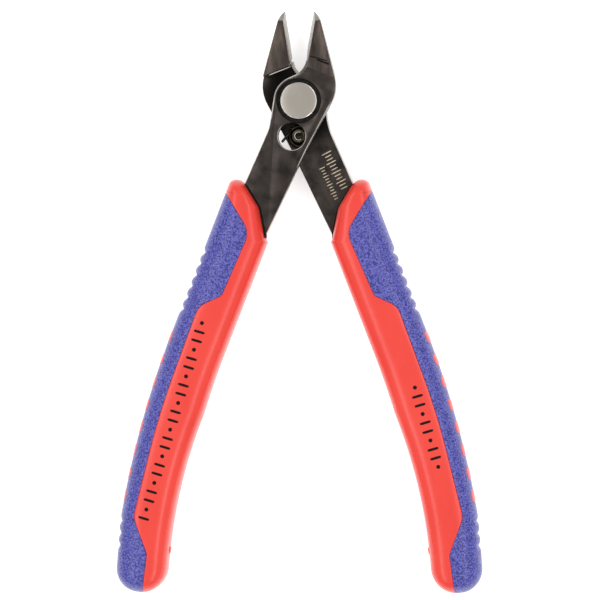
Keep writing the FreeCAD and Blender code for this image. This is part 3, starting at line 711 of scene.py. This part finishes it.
def makeCover():
    # rings of the blue skin from seam to seam, closed by its own back, where there is any blue
    rows = blueWidth > 1e-4
    travel, gap = patchTravel(seamAt, 2 * halfRound - seamAt, 84)
    fade = smoothStep(blueWidth, 0.0, grip["thinWithin"])
    skin = gripSkin(travel, roundEdge(gap, grip["seamRound"]) * fade[:, None])
    return np.concatenate([skin, bed(np.linspace(1, 0, 22), grip["coverDepth"])], axis=1)[rows]


def makeGrip(side):
    body = bodyOf[side]
    for part, rings, look, slot in (("core", makeCore(), "mouldedRedPolypropylene", "grip_core"),
                                    ("cover", makeCover(), "grainedBlueElastomer", "grip_cover")):
        name = "%s_grip_%s" % (side, part)
        faces = tubeFaces(*rings.shape[:2])
        piece = makePiece(name + "_skin", placed(rings, side), faces, looks[look], body)
        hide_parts(name)
    # a painted shadow along the mouth's rim, where it meets the neck
    rim = evenLine(grip["mouth"])
    line = aside(rim[rim[:, 1].argmax():], inlays["gapOut"])
    x0, slope, y0 = inlays["neckSide"]
    line = line[(line[:, 0] > x0 + slope * (line[:, 1] - y0)) & (line[:, 1] > inlays["gapLow"])]
    high, low = inlays["gapProud"][body], inlays["gapBase"][body]
    band(side + "_mouth_gap_shadow", line, inlays["gapHalf"], lambda x, y: high + 0 * x, lambda x, y: low + 0 * x,
         "paintedRecessShade", body, side)


for side in ("left", "right"):
    makeGrip(side)
print("grips made")


marks = {
    "padCount": 8, "padFirst": -52.5, "padLast": -86.5, "padHalf": (1.25, 3.4), "padLift": 0.09,
    "leftPrint": ((-12.4, -48.6), (-18.0, -90.4), 23), "rightPrint": ((-14.6, -62.4), (-16.8, -79.3), 10),
    "printBar": (0.27, 1.15), "printDot": (0.42, 0.42), "printLift": 0.02,
    "etchRows": [((5.62, -10.8), (9.3, -17.97), 12, (0.1, 1.1)),
                 ((4.69, -13.92), (7.66, -20.23), 12, (0.09, 0.62))],
    "etchTop": -0.01, "etchLift": 0.008, "etchShort": 0.66,
    "padSquare": 5.0, "barSquare": 4.0, "dotSquare": 2.0, "padSink": 0.5, "markSink": 0.05,
    "centre": 0.02, "flatTo": 0.8, "softEdge": ((0.93, 0.85), (1.0, 0.3)),     # shares of size, and of lift
    "nubAt": -96.4, "nubHalf": (0.3, 0.85, 1.1),
}


def reliefPatches(half, square, lift, sink, rings=5, sides=36):
    # a superellipse disc with a soft edge and a skirt: rings (a cos^m, b sin^m) q, with m = 2 / square
    t = np.arange(sides) * 2 * math.pi / sides
    c, s = np.cos(t), np.sin(t)
    edge = np.stack([np.sign(c) * np.abs(c) ** (2 / square) * half[0],
                     np.sign(s) * np.abs(s) ** (2 / square) * half[1]], axis=-1)
    (near, high), (last, low) = marks["softEdge"]
    q = np.r_[np.linspace(marks["centre"], marks["flatTo"], rings - 2), near, last, last]
    height = np.r_[np.full(rings - 2, lift), lift * high, lift * low, -sink]
    return edge[None] * q[:, None, None], np.broadcast_to(height[:, None], (len(q), sides))


def patchFaces(copies, rings, sides):
    # for each copy, the quads between its rings and one face at either end
    faces = []
    for i in range(copies):
        start = i * rings * sides
        faces += ringFaces(rings, sides, start)
        faces.append([start + k for k in range(sides)][::-1])
        faces.append([start + (rings - 1) * sides + k for k in range(sides)])
    return faces


def topHeight(x, y):
    # height of the grip's upper face: T (1 - |u|^n)^(1/n)
    u = (x - alongRows(rowCentre, y)) / alongRows(rowHalf, y)
    n = np.where(u > 0, grip["squareInner"], grip["squareOuter"])
    return alongRows(rowThick, y) * np.clip(1 - np.abs(u) ** n, 0, 1) ** (1 / n)


def sidePads(side):
    # plain rounded pads of the red core in the cover's outer side, at (1 - |z / T|^n)^(1/n) of its reach
    flat, height = reliefPatches(marks["padHalf"], marks["padSquare"], marks["padLift"], marks["padSink"],
                                 rings=6, sides=48)
    centres = np.linspace(marks["padFirst"], marks["padLast"], marks["padCount"])
    y = centres[:, None, None] + flat[None, ..., 0]
    z = np.broadcast_to(flat[None, ..., 1], y.shape)
    n = grip["squareOuter"]
    out = np.clip(1 - np.abs(z / grip["halfThick"]) ** n, 0, 1) ** (1 / n) * alongRows(rowHalf, y)
    x = alongRows(rowCentre, y) - out - height[None]
    verts = placed(np.stack([x, y, z], axis=-1), side)
    makePiece(side + "_grip_pads", verts, patchFaces(len(centres), *flat.shape[:2]),
              looks["mouldedRedPolypropylene"], bodyOf[side])


def markRow(first, last, shapes, lift):
    # marks evenly along a line: each one's points, and their heights over its ground
    along = unit(np.array(last) - np.array(first))
    across = np.array([-along[1], along[0]])
    for (half, square), centre in zip(shapes, np.linspace(first, last, len(shapes))):
        flat, height = reliefPatches(half, square, lift, marks["markSink"])
        yield centre + flat[..., :1] * along + flat[..., 1:] * across, height


def printedMarks(side, first, last, count):
    # a plain row of short bars and dots along the panel, every third one a dot
    dot, bar = (marks["printDot"], marks["dotSquare"]), (marks["printBar"], marks["barSquare"])
    shapes = [bar if i % 3 else dot for i in range(count)]
    verts = placed(np.array([np.dstack([p, topHeight(p[..., 0], p[..., 1]) + height])
                             for p, height in markRow(first, last, shapes, marks["printLift"])]), side)
    makePiece(side + "_printed_marks", verts, patchFaces(count, *verts.shape[1:3]), looks["padPrintInk"],
              bodyOf[side])


def etchedScale():
    # two plain rows of short lines etched across the right neck, every third one longer
    verts = []
    for first, last, count, (half, reach) in marks["etchRows"]:
        shapes = [((half, reach * (marks["etchShort"] if i % 3 else 1.0)), marks["barSquare"])
                  for i in range(count)]
        verts += [np.dstack([p, height + marks["etchTop"]])
                  for p, height in markRow(first, last, shapes, marks["etchLift"])]
    verts = (np.array(verts) + pivot) * mm
    makePiece("etched_scale", verts, patchFaces(len(verts), *verts.shape[1:3]), looks["laserEtchedSteel"],
              "rear")


def gateNub(side):
    # the small nub that the mould's gate leaves on the inner side, an ellipsoid half sunk in the grip
    a = np.linspace(-math.pi / 2, math.pi / 2, 14)[1:-1, None]
    t = np.arange(24)[None] * 2 * math.pi / 24
    out, along, up = marks["nubHalf"]
    x0 = alongRows(rowHigh, marks["nubAt"])
    verts = placed(np.stack([x0 + out * np.cos(a) * np.cos(t), marks["nubAt"] + along * np.sin(a) + 0 * t,
                             up * np.cos(a) * np.sin(t)], axis=-1), side)
    makePiece(side + "_gate_nub", verts, tubeFaces(*verts.shape[:2]), looks["mouldedRedPolypropylene"],
              bodyOf[side])


for side, row in (("left", marks["leftPrint"]), ("right", marks["rightPrint"])):
    sidePads(side)
    printedMarks(side, *row)
    gateNub(side)
etchedScale()
print("pads, print and etching made")


joint = {
    "axis": 0.02,                                             # radius at which the turned profiles begin
    "headRadius": 3.8, "headTop": 3.4, "headLow": 2.52, "shankRadius": 2.2, "shankLow": -3.2,
    # how far in from the head's edge and down from its top its rounding passes, and what of it is painted bright
    # as a highlight
    "headRim": [(0.0, 0.16), (0.04, 0.072), (0.16, 0.012), (0.21, 0.0)], "brightWithin": (0.22, 0.16),
    "springAt": (-1.142, -7.21), "pinRadius": 1.38, "pinTop": 2.4, "pinLow": -3.2,
    "pinHollow": 0.85, "pinFloor": -0.5, "floorBreak": 0.1,
    "pinRim": [(0.0, 0.18), (0.05, 0.06), (0.18, 0.0)], "hollowRim": [(-0.08, 0.0), (0.0, 0.08)],
    "lipTurn": (60.0, 310.0), "lipRadius": 0.84, "lipWire": 0.1,
    "wireRadius": 0.28, "coilRadius": 2.05, "coilLow": -2.3, "coilPitch": 0.585, "coilTurns": 3.3694,
    "fixedLeg": 0.9, "legGap": 0.1, "legInside": 0.25, "freeLeg": 3.51, "legRise": 22.2,
}


def rearPoint(x, y, z=0.0):
    # a point of the rear half's own drawn frame, which turns the other way from the front's
    x, y = turned(x, y, halfOpen)
    return np.stack([x, y, z + 0 * x], axis=-1)


def rounded(radius, top, rim):
    # a rim's rounding as points of a profile
    return [(radius - inward, top - down) for inward, down in rim]


def boltAndPin():
    j = joint
    r, top = j["headRadius"], j["headTop"]
    profile = [(j["axis"], j["shankLow"]), (j["shankRadius"], j["shankLow"])]
    profile += [(j["shankRadius"], j["headLow"]), (r, j["headLow"])]
    profile += rounded(r, top, j["headRim"]) + [(r / 2, top), (j["axis"], top)]
    bolt = lathe("joint_bolt_turned", profile, pivot, looks["satinGroundSteel"], "rear",
                 turns=128)
    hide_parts("joint_bolt")
    # the head's rim is painted bright: a painted highlight along its rounding
    bolt.data.materials.append(looks["wornEdgeAndPaintedHighlight"])
    centres = np.empty(len(bolt.data.polygons) * 3)
    bolt.data.polygons.foreach_get("center", centres)
    centres = centres.reshape(-1, 3) / mm - pivot
    inward, down = j["brightWithin"]
    onRim = (np.hypot(centres[:, 0], centres[:, 1]) > r - inward) & (centres[:, 2] > top - down)
    bolt.data.polygons.foreach_set("material_index", onRim.astype(np.int32))
    at = rearPoint(*np.array(j["springAt"])) + pivot
    r, hollow, top, floor = j["pinRadius"], j["pinHollow"], j["pinTop"], j["pinFloor"]
    profile = [(j["axis"], j["pinLow"]), (r, j["pinLow"])] + rounded(r, top, j["pinRim"])
    profile += rounded(hollow, top, j["hollowRim"])
    profile += [(hollow, floor + j["floorBreak"]), (hollow - j["floorBreak"], floor), (j["axis"], floor)]
    pin = lathe("stop_pin_turned", profile, at, looks["oiledSpringWire"], "rear", turns=64)
    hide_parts("stop_pin")
    # a painted highlight: a thin bright wire along the hollow's lip, open towards the upper left
    turn = np.radians(np.linspace(*j["lipTurn"], 60))
    path = np.stack([j["lipRadius"] * np.cos(turn), j["lipRadius"] * np.sin(turn), top + 0 * turn], axis=-1)
    lip = (wire(path, j["lipWire"], sides=12) + at) * mm
    makePiece("stop_pin_lip_highlight", lip, tubeFaces(*lip.shape[:2]), looks["wornEdgeAndPaintedHighlight"], "rear")


def spring():
    # helix x = R cos t, y = R sin t, z = z0 + pitch t / 2 pi, with a straight leg at each end
    j = joint
    cx, cy = j["springAt"]
    t = np.linspace(0, 2 * math.pi * j["coilTurns"], 300)
    coil = np.stack([cx + j["coilRadius"] * np.cos(t), cy + j["coilRadius"] * np.sin(t),
                     j["coilLow"] + j["coilPitch"] * t / (2 * math.pi)], axis=-1)
    leg = np.linspace(j["fixedLeg"], j["legGap"], 20)
    fixed = np.stack([cx + j["coilRadius"] + 0 * leg, cy - leg, j["coilLow"] + 0 * leg], axis=-1)
    path = np.vstack([fixed, coil])
    rise = math.radians(j["legRise"])
    away = np.array([-math.sin(t[-1]) * math.cos(rise), math.cos(t[-1]) * math.cos(rise), math.sin(rise)])
    free = coil[-1] + away * np.linspace(-j["legInside"], j["freeLeg"], 40)[:, None]
    for name, line in (("opening_spring_coil", path), ("opening_spring_leg", free)):
        centre = rearPoint(*line.T)
        skin = (wire(centre, j["wireRadius"]) + pivot) * mm
        body = "rear" if name.endswith("coil") else None
        piece = makePiece(name, skin, tubeFaces(*skin.shape[:2]), looks["oiledSpringWire"], body)
        if body:
            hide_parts("opening_spring")
        else:
            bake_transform(piece)


def dressNode(node, look):
    materials = frame["nodes"][node].data.materials
    materials.clear()
    materials.append(looks[look])


boltAndPin()
spring()
dressNode("joint_washer", "blackenedSteel")
dressNode("joint_nut", "blackenedSteel")
print("joint made")
